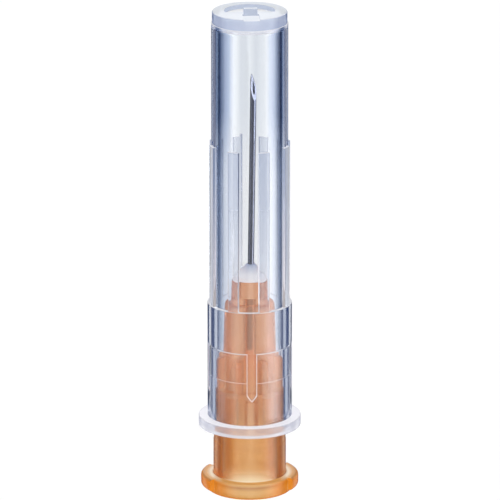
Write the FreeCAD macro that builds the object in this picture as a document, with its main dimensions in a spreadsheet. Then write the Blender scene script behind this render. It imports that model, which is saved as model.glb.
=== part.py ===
import FreeCAD, Part
import math
import os

import Sketcher

# Hypodermic needle, 25 gauge by 16 mm, standing on its hub inside its clear sheath.
# Millimetres, +Z up the needle, origin at the centre of the face it stands on.

# Driving sizes in millimetres, angles in degrees
SIZES = {
    # Base disc and its two lock lugs
    "disc_radius": 3.45,
    "disc_height": 1.3,
    "disc_round": 0.2,
    "lug_depth": 0.45,
    "lug_span": 64,
    "lug_underside": 0.3,
    "lug_round": 0.25,
    # Barrel, up to the seat that the sheath stands on
    "seat_height": 5.35,
    "seat_width": 0.2,
    "seat_round": 0.08,
    "barrel_foot_round": 0.15,
    "witness_height": 4.1,
    "witness_step": 0.03,
    # Collar, core, shoulder and nose, each height counted from the seat or from the one below
    "collar_height": 3.3,
    "collar_step": 0.08,
    "collar_round": 0.1,
    "core_radius": 2.17,
    "core_height": 10.4,
    "core_draft": 0.19,
    "nose_radius": 1.57,
    "nose_height": 1.82,
    "nose_draft": 0.09,
    "nose_round": 0.08,
    # Fins of the hub
    "fin_count": 8,
    "fin_depth": 0.45,
    "fin_width": 0.55,
    "fin_height": 5.95,
    "fin_round": 0.3,
    # Six percent tapered socket, chamber, passage and glue well
    "socket_mouth_radius": 2.14,
    "socket_depth": 8.0,
    "socket_taper": 0.06,
    "mouth_chamfer": 0.12,
    "chamber_radius": 1.1,
    "chamber_height": 2.4,
    "funnel_height": 1.0,
    "passage_gap": 0.08,
    "well_radius": 0.75,
    "well_depth": 1.5,
    # Cannula, which leans a little from its foot up, and its lancet point
    "cannula_radius": 0.25,
    "cannula_wall": 0.12,
    "cannula_reach": 16.7,
    "cannula_embed": 5.8,
    "cannula_lean": 0.78,
    "bevel_length": 2.15,
    "bevel_facing": -57,
    "facet_length": 1.57,
    "facet_turn": 30,
    # Cured bond that stands over the nose
    "bond_margin": 0.08,
    "bond_height": 1.18,
    "bond_lip": 0.1,
    # Gaps between the sheath and the hub
    "slip_gap": 0.05,
    "fin_gap": 0.06,
    "core_gap": 0.33,
    "key_gap": 0.08,
    # Sheath walls
    "tube_wall": 0.56,
    "tube_draft": 0.03,
    "bore_draft": 0.04,
    "bore_round": 0.3,
    "rib_count": 8,
    "rib_width": 0.88,
    "rib_depth": 0.21,
    "rib_length": 13.08,
    "rib_turn": 5,
    "band_step": 0.09,
    "band_height": 10.22,
    "flange_depth": 0.72,
    "flange_height": 0.87,
    "flange_round": 0.12,
    # Steps and splines inside the sheath
    "collar_headroom": 0.95,
    "fin_headroom": 0.69,
    "spline_count": 4,
    "spline_width": 0.76,
    "spline_overlap": 0.6,
    "spline_point": 0.5,
    "spline_root": 0.1,
    # Closed end of the sheath, with its rim, recess, gate nib and notch
    "tip_room": 3.93,
    "end_wall": 1.2,
    "rim_step": 0.07,
    "rim_height": 0.93,
    "rim_round": 0.15,
    "recess_radius": 2.0,
    "recess_depth": 0.35,
    "recess_flat": 0.4,
    "nib_width": 1.1,
    "nib_height": 0.45,
    "nib_thickness": 0.4,
    "nib_offset": 0.8,
    "notch_width": 1.3,
    "notch_depth": 0.12,
}

# Sizes worked out from the driving ones
DERIVED = {
    "lug_radius": "disc_radius + lug_depth",
    "fin_reach": "core_radius + fin_depth",
    "collar_radius": "fin_reach + collar_step",
    "barrel_radius": "collar_radius + seat_width",
    "collar_top": "seat_height + collar_height",
    "fin_top": "seat_height + fin_height",
    "core_top": "seat_height + core_height",
    "core_top_radius": "core_radius - core_draft",
    "shoulder_round": "(core_top_radius - nose_radius) * 0.9",
    "nose_top": "core_top + nose_height",
    "nose_tip_radius": "nose_radius - nose_draft",
    "socket_end_radius": "socket_mouth_radius - socket_depth * socket_taper / 2",
    "chamber_top": "socket_depth + chamber_height",
    "funnel_top": "chamber_top + funnel_height",
    "passage_radius": "cannula_radius + passage_gap",
    "well_floor": "nose_top - well_depth",
    "cannula_bore": "cannula_radius - cannula_wall",
    "cannula_foot": "nose_top - cannula_embed",
    "cannula_tip": "nose_top + cannula_reach",
    "facet_peak": "cannula_tip + facet_length * (1 - cos(facet_turn * 1 deg)) / 2",
    "lean_shift": "cannula_foot * sin(cannula_lean * 1 deg)",
    "lean_rise": "cannula_foot * (1 - cos(cannula_lean * 1 deg))",
    "bond_radius": "nose_tip_radius - bond_margin",
    "bond_top": "nose_top + bond_height",
    "bond_shift": "(bond_top - cannula_foot) * tan(cannula_lean * 1 deg)",
    "bore_radius": "core_radius + core_gap",
    "bore_end_radius": "bore_radius - bore_draft",
    "middle_radius": "fin_reach + fin_gap",
    "mouth_radius": "collar_radius + slip_gap",
    "tube_radius": "bore_radius + tube_wall",
    "tube_end_radius": "tube_radius - tube_draft",
    "rib_reach": "tube_radius + rib_depth",
    "band_radius": "rib_reach + band_step",
    "flange_radius": "band_radius + flange_depth",
    "flange_top": "seat_height + flange_height",
    "band_top": "seat_height + band_height",
    "rib_top": "band_top + rib_length",
    "lower_step": "collar_top + collar_headroom",
    "upper_step": "fin_top + fin_headroom",
    "spline_tip": "collar_top - spline_overlap",
    "bore_end": "cannula_tip + tip_room",
    "sheath_top": "bore_end + end_wall",
    "rim_foot": "sheath_top - rim_height",
    "rim_radius": "tube_end_radius - rim_step",
}


def fill_sheet(doc):
    """Writes the driving sizes as plain numbers and the worked-out ones as formulas."""
    sheet = doc.addObject("Spreadsheet::Sheet", "Sizes")
    row = 0
    for alias, number in SIZES.items():
        row += 1
        sheet.set(f"A{row}", alias.replace("_", " "))
        sheet.set(f"B{row}", str(number))
        sheet.setAlias(f"B{row}", alias)
    for alias, formula in DERIVED.items():
        row += 1
        sheet.set(f"A{row}", alias.replace("_", " "))
        sheet.set(f"B{row}", "=" + formula)
        sheet.setAlias(f"B{row}", alias)
    doc.recompute()
    return sheet


def sized(formula):
    """Turns a formula of size names into one that an object outside the sheet can hold."""
    words = formula.replace("(", " ( ").replace(")", " ) ").split()
    known = set(SIZES) | set(DERIVED)
    return " ".join("Sizes." + word if word in known else word for word in words)


def origin_part(body, role):
    """Finds one of the body's own origin planes or axes."""
    return next(part for part in body.Origin.OriginFeatures if part.Role == role)


def new_sketch(body, name, plane, lift=None, turn=None):
    """Starts a sketch on an origin plane, lifted along its normal or turned about its own upright line.

    In an upright plane that line is the needle's axis, and in the level plane it is the Y axis.
    """
    sketch = body.newObject("Sketcher::SketchObject", name)
    sketch.AttachmentSupport = [(origin_part(body, plane), "")]
    sketch.MapMode = "FlatFace"
    if lift:
        sketch.setExpression("AttachmentOffset.Base.z", sized(lift))
    if turn:
        upright = FreeCAD.Vector(0, 1, 0)
        sketch.AttachmentOffset = FreeCAD.Placement(FreeCAD.Vector(), FreeCAD.Rotation(upright, 1))
        sketch.setExpression("AttachmentOffset.Rotation.Angle", sized(turn))
    return sketch


def number(sketch, formula):
    """Works out a formula's present value."""
    return float(sketch.evalExpression(sized(formula)))


def place_point(sketch, item, end, corner):
    """Holds a point of the sketch at a corner's two formulas."""
    horizontal_axis, vertical_axis, centre = -1, -2, 1
    across, up = corner[:2]
    if across == "0":
        sketch.addConstraint(Sketcher.Constraint("PointOnObject", item, end, vertical_axis))
    else:
        value = number(sketch, across)
        index = sketch.addConstraint(
            Sketcher.Constraint("DistanceX", horizontal_axis, centre, item, end, value))
        sketch.setExpression(f"Constraints[{index}]", sized(across))
    if up == "0":
        sketch.addConstraint(Sketcher.Constraint("PointOnObject", item, end, horizontal_axis))
    else:
        value = number(sketch, up)
        index = sketch.addConstraint(
            Sketcher.Constraint("DistanceY", horizontal_axis, centre, item, end, value))
        sketch.setExpression(f"Constraints[{index}]", sized(up))


def draw_outline(sketch, corners):
    """Draws a closed outline of straight edges.

    A corner is a pair of formulas, across and up. A third formula rounds it with an arc of that radius.
    """
    start, finish = 1, 2
    points = [FreeCAD.Vector(number(sketch, c[0]), number(sketch, c[1]), 0) for c in corners]
    arrive, leave, arcs, arc_ends = [], [], [], []
    for i, corner in enumerate(corners):
        here, before, after = points[i], points[i - 1], points[(i + 1) % len(points)]
        if len(corner) == 2:
            arrive.append(here)
            leave.append(here)
            arcs.append(None)
            arc_ends.append(None)
            continue
        back = (before - here).normalize()
        ahead = (after - here).normalize()
        radius = number(sketch, corner[2])
        half = back.getAngle(ahead) / 2
        setback = radius / math.tan(half)
        centre = here + (back + ahead).normalize() * (radius / math.sin(half))
        middle = centre + (here - centre).normalize() * radius
        arrive.append(here + back * setback)
        leave.append(here + ahead * setback)
        # An arc runs anticlockwise, so at a corner that turns right it starts where the outline leaves it
        if ahead.cross(back).z > 0:
            arcs.append(Part.Arc(arrive[i], middle, leave[i]))
            arc_ends.append((start, finish))
        else:
            arcs.append(Part.Arc(leave[i], middle, arrive[i]))
            arc_ends.append((finish, start))
    edges = []
    for i in range(len(corners)):
        j = (i + 1) % len(corners)
        edges.append(sketch.addGeometry(Part.LineSegment(leave[i], arrive[j])))
    for i, corner in enumerate(corners):
        before, after = edges[i - 1], edges[i]
        if arcs[i] is None:
            sketch.addConstraint(Sketcher.Constraint("Coincident", before, finish, after, start))
            place_point(sketch, after, start, corner)
            continue
        arc = sketch.addGeometry(arcs[i])
        arriving, leaving = arc_ends[i]
        sketch.addConstraint(Sketcher.Constraint("Tangent", before, finish, arc, arriving))
        sketch.addConstraint(Sketcher.Constraint("Tangent", after, start, arc, leaving))
        index = sketch.addConstraint(Sketcher.Constraint("Radius", arc, number(sketch, corner[2])))
        sketch.setExpression(f"Constraints[{index}]", sized(corner[2]))
        corner_point = sketch.addGeometry(Part.Point(points[i]), True)
        sketch.addConstraint(Sketcher.Constraint("PointOnObject", corner_point, start, before))
        sketch.addConstraint(Sketcher.Constraint("PointOnObject", corner_point, start, after))
        place_point(sketch, corner_point, start, corner)
    return sketch


def draw_circle(sketch, radius, across="0"):
    """Draws a circle round the origin, or round a point to the right of it."""
    centre = 3
    place = FreeCAD.Vector(number(sketch, across), 0, 0)
    circle = sketch.addGeometry(Part.Circle(place, FreeCAD.Vector(0, 0, 1), number(sketch, radius)))
    index = sketch.addConstraint(Sketcher.Constraint("Radius", circle, number(sketch, radius)))
    sketch.setExpression(f"Constraints[{index}]", sized(radius))
    place_point(sketch, circle, centre, (across, "0"))


def revolve(body, kind, name, sketch, angle=None):
    """Turns a sketch about the needle's axis, all the way or by an angle centred on the sketch."""
    feature = body.newObject("PartDesign::" + kind, name)
    feature.Profile = sketch
    feature.ReferenceAxis = (sketch, ["V_Axis"])
    feature.Angle = 360
    if angle:
        feature.Midplane = True
        feature.setExpression("Angle", sized(angle))
    return feature


def extrude(body, kind, name, sketch, length=None, centred=False):
    """Pads or pockets a sketch by a length, or cuts through everything where none is given."""
    feature = body.newObject("PartDesign::" + kind, name)
    feature.Profile = sketch
    if length:
        feature.setExpression("Length", sized(length))
    else:
        feature.Type = "ThroughAll"
    if centred:
        feature.SideType = "Symmetric"
    return feature


def repeat_round(body, name, feature, count):
    """Repeats a feature evenly about the needle's axis."""
    pattern = body.newObject("PartDesign::PolarPattern", name)
    pattern.Originals = [feature]
    pattern.Axis = (origin_part(body, "Z_Axis"), [""])
    pattern.Angle = 360
    pattern.setExpression("Occurrences", sized(count))
    body.Tip = pattern
    return pattern


def new_body(doc, name):
    """Starts a sub-part whose label names its file."""
    body = doc.addObject("PartDesign::Body", name)
    body.Label = name
    return body


def make_hub(doc):
    """One moulding: disc, lugs, barrel, collar, core, nose and fins outside, tapered socket inside."""
    body = new_body(doc, "needle_hub")

    foot = new_sketch(body, "FootProfile", "XZ_Plane")
    draw_outline(foot, [
        ("0", "0"),
        ("disc_radius", "0", "disc_round"),
        ("disc_radius", "disc_height", "disc_round"),
        ("barrel_radius", "disc_height", "barrel_foot_round"),
        ("barrel_radius", "seat_height"),
        ("0", "seat_height"),
    ])
    revolve(body, "Revolution", "DiscAndBarrel", foot)

    stem = new_sketch(body, "StemProfile", "XZ_Plane")
    draw_outline(stem, [
        ("0", "seat_height"),
        ("collar_radius", "seat_height"),
        ("collar_radius", "collar_top", "collar_round"),
        ("core_radius", "collar_top"),
        ("core_top_radius", "core_top", "shoulder_round"),
        ("nose_radius", "core_top"),
        ("nose_tip_radius", "nose_top", "nose_round"),
        ("0", "nose_top"),
    ])
    revolve(body, "Revolution", "CollarAndCore", stem)

    # A mould line runs round the barrel, whose upper end is a little slimmer and rounded at the seat
    witness = new_sketch(body, "WitnessProfile", "XZ_Plane")
    draw_outline(witness, [
        ("barrel_radius - witness_step", "witness_height"),
        ("barrel_radius + seat_width", "witness_height"),
        ("barrel_radius + seat_width", "seat_height + seat_width"),
        ("collar_radius", "seat_height + seat_width"),
        ("collar_radius", "seat_height"),
        ("barrel_radius - witness_step", "seat_height", "seat_round"),
    ])
    revolve(body, "Groove", "WitnessStep", witness)

    lug = new_sketch(body, "LugProfile", "XZ_Plane")
    draw_outline(lug, [
        ("barrel_radius", "lug_underside"),
        ("lug_radius", "lug_underside", "lug_round"),
        ("lug_radius", "disc_height", "lug_round"),
        ("barrel_radius", "disc_height"),
    ])
    first_lug = revolve(body, "Revolution", "Lug", lug, "lug_span")
    repeat_round(body, "Lugs", first_lug, "2")

    fin = new_sketch(body, "FinProfile", "XZ_Plane", turn="180 / fin_count")
    draw_outline(fin, [
        ("nose_radius", "seat_height"),
        ("fin_reach", "seat_height"),
        ("fin_reach", "fin_top", "fin_round"),
        ("nose_radius", "fin_top"),
    ])
    first_fin = extrude(body, "Pad", "Fin", fin, "fin_width", centred=True)
    repeat_round(body, "Fins", first_fin, "fin_count")

    keyway = new_sketch(body, "KeywayOutline", "XZ_Plane", lift="bore_radius - key_gap")
    draw_outline(keyway, [
        ("0 - spline_width / 2 - key_gap", "spline_tip - key_gap"),
        ("spline_width / 2 + key_gap", "spline_tip - key_gap"),
        ("spline_width / 2 + key_gap", "fin_top"),
        ("0 - spline_width / 2 - key_gap", "fin_top"),
    ])
    first_keyway = extrude(body, "Pocket", "Keyway", keyway, "collar_radius - bore_radius + 2 * key_gap")
    first_keyway.Reversed = True
    repeat_round(body, "Keyways", first_keyway, "spline_count")

    socket = new_sketch(body, "SocketProfile", "XZ_Plane")
    draw_outline(socket, [
        ("0", "0"),
        ("socket_mouth_radius + mouth_chamfer", "0"),
        ("socket_mouth_radius - mouth_chamfer * socket_taper / 2", "mouth_chamfer"),
        ("socket_end_radius", "socket_depth"),
        ("chamber_radius", "socket_depth"),
        ("chamber_radius", "chamber_top"),
        ("passage_radius", "funnel_top"),
        ("passage_radius", "well_floor"),
        ("well_radius", "well_floor"),
        ("well_radius", "nose_top"),
        ("0", "nose_top"),
    ])
    revolve(body, "Groove", "Socket", socket)
    return body


def make_cannula(doc):
    """A drawn tube, cut by one long bevel and then by two facets that leave a lancet point."""
    body = new_body(doc, "cannula")

    tube = new_sketch(body, "TubeProfile", "XZ_Plane")
    draw_outline(tube, [
        ("cannula_bore", "cannula_foot"),
        ("cannula_radius", "cannula_foot"),
        ("cannula_radius", "cannula_tip + bevel_length / 4"),
        ("cannula_bore", "cannula_tip + bevel_length / 4"),
    ])
    revolve(body, "Revolution", "Tube", tube)

    # Each cut runs two radii out from the axis on both sides, so its ends lie clear of the tube
    grinds = [
        ("Bevel", "cannula_tip", "bevel_length", "bevel_facing"),
        ("LeftFacet", "facet_peak", "facet_length", "bevel_facing + facet_turn"),
        ("RightFacet", "facet_peak", "facet_length", "bevel_facing - facet_turn"),
    ]
    for name, peak, length, turn in grinds:
        cut = new_sketch(body, name + "Outline", "XZ_Plane", turn=turn)
        draw_outline(cut, [
            ("-2 * cannula_radius", f"{peak} + {length} / 2"),
            ("2 * cannula_radius", f"{peak} - 3 * {length} / 2"),
            ("2 * cannula_radius", f"{peak} + {length}"),
            ("-2 * cannula_radius", f"{peak} + {length}"),
        ])
        extrude(body, "Pocket", name, cut, centred=True)

    # It leans to the right about its foot, as it was glued
    body.Placement = FreeCAD.Placement(FreeCAD.Vector(), FreeCAD.Rotation(FreeCAD.Vector(0, 1, 0), 1))
    body.setExpression("Placement.Rotation.Angle", sized("cannula_lean"))
    body.setExpression("Placement.Base.x", sized("0 - lean_shift"))
    body.setExpression("Placement.Base.z", sized("lean_rise"))
    return body


def make_bond(doc):
    """The cured bond fills the well in the nose and stands round the cannula as a cone that follows it."""
    body = new_body(doc, "adhesive_bond")

    plug = new_sketch(body, "PlugProfile", "XZ_Plane")
    draw_outline(plug, [
        ("0", "well_floor"),
        ("well_radius", "well_floor"),
        ("well_radius", "nose_top"),
        ("0", "nose_top"),
    ])
    revolve(body, "Revolution", "Plug", plug)

    foot = new_sketch(body, "ConeFoot", "XY_Plane", lift="nose_top")
    draw_circle(foot, "bond_radius")
    rim = new_sketch(body, "ConeRim", "XY_Plane", lift="bond_top")
    draw_circle(rim, "cannula_radius + bond_lip", across="bond_shift")
    cone = body.newObject("PartDesign::AdditiveLoft", "Cone")
    cone.Profile = foot
    cone.Sections = [rim]
    cone.Ruled = True

    hole = new_sketch(body, "HoleOutline", "XY_Plane", lift="cannula_foot", turn="cannula_lean")
    draw_circle(hole, "cannula_radius")
    cut = extrude(body, "Pocket", "Hole", hole, "bond_top + cannula_radius - cannula_foot")
    cut.Reversed = True
    return body


def make_sheath(doc):
    """One clear moulding: flange, band, ribbed tube and closed end outside, stepped and splined bore."""
    body = new_body(doc, "needle_sheath")

    outside = new_sketch(body, "OutsideProfile", "XZ_Plane")
    draw_outline(outside, [
        ("0", "seat_height"),
        ("flange_radius", "seat_height", "flange_round"),
        ("flange_radius", "flange_top", "flange_round"),
        ("band_radius", "flange_top"),
        ("band_radius", "band_top"),
        ("tube_radius", "band_top"),
        ("tube_end_radius", "rim_foot"),
        ("rim_radius", "rim_foot"),
        ("rim_radius", "sheath_top", "rim_round"),
        ("0", "sheath_top"),
    ])
    revolve(body, "Revolution", "Outside", outside)

    bore = new_sketch(body, "BoreProfile", "XZ_Plane")
    draw_outline(bore, [
        ("0", "seat_height"),
        ("mouth_radius", "seat_height"),
        ("mouth_radius", "lower_step"),
        ("middle_radius", "lower_step"),
        ("middle_radius", "upper_step"),
        ("bore_radius", "upper_step"),
        ("bore_end_radius", "bore_end", "bore_round"),
        ("0", "bore_end"),
    ])
    revolve(body, "Groove", "Bore", bore)

    rib = new_sketch(body, "RibProfile", "XZ_Plane", turn="180 / rib_count - rib_turn")
    draw_outline(rib, [
        ("tube_radius - tube_wall / 2", "band_top - rib_depth"),
        ("rib_reach", "band_top - rib_depth"),
        ("rib_reach", "rib_top"),
        ("tube_radius - tube_wall / 2", "rib_top"),
    ])
    first_rib = extrude(body, "Pad", "Rib", rib, "rib_width", centred=True)
    repeat_round(body, "Ribs", first_rib, "rib_count")

    spline = new_sketch(body, "SplineOutline", "XZ_Plane", lift="bore_radius")
    draw_outline(spline, [
        ("0", "spline_tip"),
        ("spline_width / 2", "spline_tip + spline_point"),
        ("spline_width / 2", "upper_step + spline_root"),
        ("0 - spline_width / 2", "upper_step + spline_root"),
        ("0 - spline_width / 2", "spline_tip + spline_point"),
    ])
    first_spline = extrude(body, "Pad", "Spline", spline, "mouth_radius - bore_radius + spline_root")
    repeat_round(body, "Splines", first_spline, "spline_count")

    recess = new_sketch(body, "RecessOutline", "XY_Plane", lift="sheath_top")
    radius = number(recess, "recess_radius")
    flat = number(recess, "recess_flat")
    reach = math.sqrt(radius ** 2 - flat ** 2)
    right, left = FreeCAD.Vector(reach, -flat, 0), FreeCAD.Vector(-reach, -flat, 0)
    start, finish, centre, origin = 1, 2, 3, -1
    bow = recess.addGeometry(Part.Arc(right, FreeCAD.Vector(0, radius, 0), left))
    straight = recess.addGeometry(Part.LineSegment(left, right))
    recess.addConstraint(Sketcher.Constraint("Coincident", bow, finish, straight, start))
    recess.addConstraint(Sketcher.Constraint("Coincident", straight, finish, bow, start))
    recess.addConstraint(Sketcher.Constraint("Coincident", bow, centre, origin, start))
    recess.addConstraint(Sketcher.Constraint("Horizontal", straight))
    index = recess.addConstraint(Sketcher.Constraint("Radius", bow, radius))
    recess.setExpression(f"Constraints[{index}]", sized("recess_radius"))
    index = recess.addConstraint(
        Sketcher.Constraint("DistanceY", straight, start, origin, start, flat))
    recess.setExpression(f"Constraints[{index}]", sized("recess_flat"))
    extrude(body, "Pocket", "Recess", recess, "recess_depth")

    nib = new_sketch(body, "NibOutline", "XY_Plane", lift="sheath_top")
    draw_outline(nib, [
        ("0 - nib_width / 2", "0 - nib_offset - nib_thickness"),
        ("nib_width / 2", "0 - nib_offset - nib_thickness"),
        ("nib_width / 2", "0 - nib_offset"),
        ("0 - nib_width / 2", "0 - nib_offset"),
    ])
    extrude(body, "Pad", "Nib", nib, "nib_height")

    notch = new_sketch(body, "NotchOutline", "XY_Plane", lift="sheath_top")
    draw_outline(notch, [
        ("0 - notch_width / 2", "0 - rim_radius - rim_step"),
        ("notch_width / 2", "0 - rim_radius - rim_step"),
        ("notch_width / 2", "0 - nib_offset - nib_thickness"),
        ("0 - notch_width / 2", "0 - nib_offset - nib_thickness"),
    ])
    extrude(body, "Pocket", "Notch", notch, "notch_depth")

    return body


def check_model(doc, bodies):
    """Stops where any object failed, or a sub-part isn't one valid solid."""
    for item in doc.Objects:
        failed = {"Invalid", "Error"} & set(item.State)
        if failed:
            raise RuntimeError(f"{item.Name} is {sorted(failed)}")
    for body in bodies:
        shape = body.Shape
        if shape.isNull() or not shape.isValid() or len(shape.Solids) != 1:
            raise RuntimeError(f"{body.Label} isn't one valid solid")


def main():
    doc = FreeCAD.newDocument("hypodermic_needle")
    fill_sheet(doc)
    bodies = [make_hub(doc), make_cannula(doc), make_bond(doc), make_sheath(doc)]
    doc.recompute()
    check_model(doc, bodies)
    os.makedirs("parts", exist_ok=True)
    for body in bodies:
        box = body.Shape.BoundBox
        body.Shape.exportStep(f"parts/{body.Label}.step")
        print(f"{body.Label}: {body.Shape.Volume:.3f} mm3, z {box.ZMin:.3f} to {box.ZMax:.3f}")


main()
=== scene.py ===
import math
from types import SimpleNamespace

import bpy
from mathutils import Matrix, Vector


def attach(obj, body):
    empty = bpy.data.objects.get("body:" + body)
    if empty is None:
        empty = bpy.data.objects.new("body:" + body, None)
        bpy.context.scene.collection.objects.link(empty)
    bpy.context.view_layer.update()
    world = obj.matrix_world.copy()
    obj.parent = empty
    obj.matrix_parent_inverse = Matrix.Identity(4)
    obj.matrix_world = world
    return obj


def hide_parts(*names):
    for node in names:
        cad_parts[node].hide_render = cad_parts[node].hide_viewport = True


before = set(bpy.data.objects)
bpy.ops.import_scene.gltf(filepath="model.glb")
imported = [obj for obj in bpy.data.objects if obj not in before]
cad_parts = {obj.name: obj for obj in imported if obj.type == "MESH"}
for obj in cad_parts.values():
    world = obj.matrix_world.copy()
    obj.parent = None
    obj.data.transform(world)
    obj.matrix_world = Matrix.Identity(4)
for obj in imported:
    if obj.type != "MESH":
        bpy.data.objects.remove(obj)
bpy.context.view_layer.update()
bpy.ops.object.select_all(action="DESELECT")

# The pieces are drawn in millimetres and angles in degrees, and scaled to metres when they are finished
MM = 0.001
FULL_TURN = 2 * math.pi

# Needle hub
DISC_RADIUS = 3.45
DISC_HEIGHT = 1.3
DISC_ROUND = 0.2
LUG_RADIUS = 3.9
LUG_ROOT_RADIUS = 2.6
LUG_COUNT = 2
LUG_SPAN = 64
LUG_UNDERSIDE = 0.3
LUG_ROUND = 0.25
BARREL_RADIUS = 2.9
BARREL_FOOT_ROUND = 0.15
WITNESS_HEIGHT = 4.1
WITNESS_STEP = 0.03
SEAT_HEIGHT = 5.35
SEAT_ROUND = 0.08
COLLAR_RADIUS = 2.7
COLLAR_TOP = 8.65
COLLAR_ROUND = 0.1
CORE_RADIUS = 2.17
CORE_TOP_RADIUS = 1.98
CORE_TOP = 15.75
SHOULDER_ROUND = 0.37
NOSE_RADIUS = 1.57
NOSE_TIP_RADIUS = 1.48
NOSE_TOP = 17.57
NOSE_ROUND = 0.08
FIN_COUNT = 8
FIN_REACH = 2.62
FIN_WIDTH = 0.55
FIN_TOP = 11.3
FIN_ROUND = 0.3
FIN_ROOT_RADIUS = 1.3
KEY_GAP = 0.08
SOCKET_MOUTH_RADIUS = 2.14
SOCKET_END_RADIUS = 1.9
SOCKET_DEPTH = 8.0
MOUTH_CHAMFER = 0.12
CHAMBER_RADIUS = 1.1
CHAMBER_TOP = 10.4
FUNNEL_TOP = 11.4
PASSAGE_RADIUS = 0.33
WELL_RADIUS = 0.75
WELL_FLOOR = 16.07

# Cannula and the bond round it
CANNULA_RADIUS = 0.25
CANNULA_BORE = 0.13
CANNULA_FOOT = 11.77
CANNULA_TIP = 34.27
CANNULA_LEAN = 0.78
BEVEL_LENGTH = 2.15
BEVEL_FACING = -57
FACET_LENGTH = 1.57
FACET_TURN = 30
BOND_RADIUS = 1.4
BOND_TOP = 18.75
BOND_LIP = 0.1
HOLE_SPARE = 0.5

# Sheath
FLANGE_RADIUS = 4.08
FLANGE_TOP = 6.22
FLANGE_ROUND = 0.12
BAND_RADIUS = 3.36
BAND_TOP = 15.57
TUBE_RADIUS = 3.06
TUBE_END_RADIUS = 3.03
RIM_RADIUS = 2.96
RIM_FOOT = 38.47
RIM_ROUND = 0.15
SHEATH_TOP = 39.4
BORE_END = 38.2
BORE_RADIUS = 2.5
BORE_END_RADIUS = 2.46
BORE_ROUND = 0.3
MIDDLE_RADIUS = 2.68
UPPER_STEP = 11.99
MOUTH_RADIUS = 2.75
LOWER_STEP = 9.6
RIB_COUNT = 8
RIB_REACH = 3.27
RIB_WIDTH = 0.88
RIB_TOP = 28.65
RIB_TURN = 5
SPLINE_COUNT = 4
SPLINE_WIDTH = 0.76
SPLINE_TIP = 8.05
SPLINE_POINT = 0.5
SPLINE_SOFTNESS = 0.08
RECESS_RADIUS = 2.0
RECESS_DEPTH = 0.35
RECESS_FLAT = 0.4
NIB_WIDTH = 1.1
NIB_HEIGHT = 0.45
NIB_THICKNESS = 0.4
NIB_OFFSET = 0.8
NOTCH_WIDTH = 1.3
NOTCH_DEPTH = 0.12

# How finely round forms are drawn
ROUND_STEPS = 192
FINE_STEPS = 64
CORNER_STEPS = 5
EDGE_STEPS = 3
EDGE_SOFTNESS = 0.04
MERGE_GAP = 0.0005
SMOOTH_ANGLE = math.radians(32)


def select_only(piece):
    """Makes one object the only selected and the active one."""
    bpy.ops.object.select_all(action="DESELECT")
    piece.select_set(True)
    bpy.context.view_layer.objects.active = piece


def edit(piece, kind):
    """Opens the piece for editing of points, edges or faces with nothing selected."""
    select_only(piece)
    bpy.ops.object.mode_set(mode="EDIT")
    bpy.ops.mesh.select_mode(type=kind)
    bpy.ops.mesh.select_all(action="DESELECT")


def close_edit():
    bpy.ops.object.mode_set(mode="OBJECT")


def pick(parts, wanted):
    """Selects, outside edit mode, the points, edges or faces that the test wants."""
    close_edit()
    for part in parts:
        part.select = wanted(part)
    bpy.ops.object.mode_set(mode="EDIT")


def draw_outline(name, corners, closed=True):
    """Draws a wire outline in the axis's plane. A corner is across, up and, where rounded, a radius."""
    bpy.ops.object.select_all(action="DESELECT")
    bpy.ops.mesh.primitive_circle_add(vertices=len(corners), fill_type="NOTHING")
    piece = bpy.context.active_object
    piece.name = name
    places = [Vector((corner[0], 0, corner[1])) for corner in corners]
    for point, place in zip(piece.data.vertices, places):
        point.co = place
    if not closed:
        edit(piece, "EDGE")
        ends = {0, len(corners) - 1}
        pick(piece.data.edges, lambda edge: set(edge.vertices) == ends)
        bpy.ops.mesh.delete(type="EDGE")
        close_edit()
    for i, corner in enumerate(corners):
        if len(corner) < 3:
            continue
        here, before, after = places[i], places[i - 1], places[(i + 1) % len(places)]
        half = (before - here).angle(after - here) / 2
        setback = corner[2] / math.tan(half)
        edit(piece, "VERT")
        pick(piece.data.vertices, lambda point: (point.co - here).length < MERGE_GAP)
        bpy.ops.mesh.bevel(offset=setback, affect="VERTICES", segments=CORNER_STEPS)
        close_edit()
    return piece


def tidy_skin(piece):
    """Merges doubled points and turns every face outwards."""
    edit(piece, "VERT")
    bpy.ops.mesh.select_all(action="SELECT")
    bpy.ops.mesh.remove_doubles(threshold=MERGE_GAP)
    bpy.ops.mesh.normals_make_consistent(inside=False)
    close_edit()


def turn_round(piece, steps):
    """Spins an outline once round the needle's axis."""
    edit(piece, "VERT")
    bpy.ops.mesh.select_all(action="SELECT")
    bpy.ops.mesh.spin(steps=steps, angle=FULL_TURN, center=(0, 0, 0), axis=(0, 0, 1), use_auto_merge=True)
    close_edit()
    tidy_skin(piece)
    return piece


def turn_part_way(piece, span):
    """Fills a closed outline and spins it through an angle centred on where it was drawn."""
    edit(piece, "VERT")
    bpy.ops.mesh.select_all(action="SELECT")
    bpy.ops.mesh.edge_face_add()
    steps = round(ROUND_STEPS * span / 360)
    bpy.ops.mesh.spin(steps=steps, angle=math.radians(span), center=(0, 0, 0), axis=(0, 0, 1))
    close_edit()
    tidy_skin(piece)
    ends = [math.degrees(math.atan2(point.co.y, point.co.x)) for point in piece.data.vertices]
    swing = -math.copysign(math.radians(span / 2), sum(ends))
    piece.data.transform(Matrix.Rotation(swing, 4, "Z"))
    return piece


def thicken(piece, shift):
    """Fills a closed outline and draws it out along a shift."""
    edit(piece, "VERT")
    bpy.ops.mesh.select_all(action="SELECT")
    bpy.ops.mesh.edge_face_add()
    bpy.ops.mesh.extrude_region_move(TRANSFORM_OT_translate={"value": shift})
    close_edit()
    tidy_skin(piece)
    return piece


def lean(piece):
    """Leans a piece to the right about the cannula's foot."""
    foot = Vector((0, 0, CANNULA_FOOT))
    turn = Matrix.Rotation(math.radians(CANNULA_LEAN), 4, "Y")
    piece.data.transform(Matrix.Translation(foot) @ turn @ Matrix.Translation(-foot))
    return piece


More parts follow.
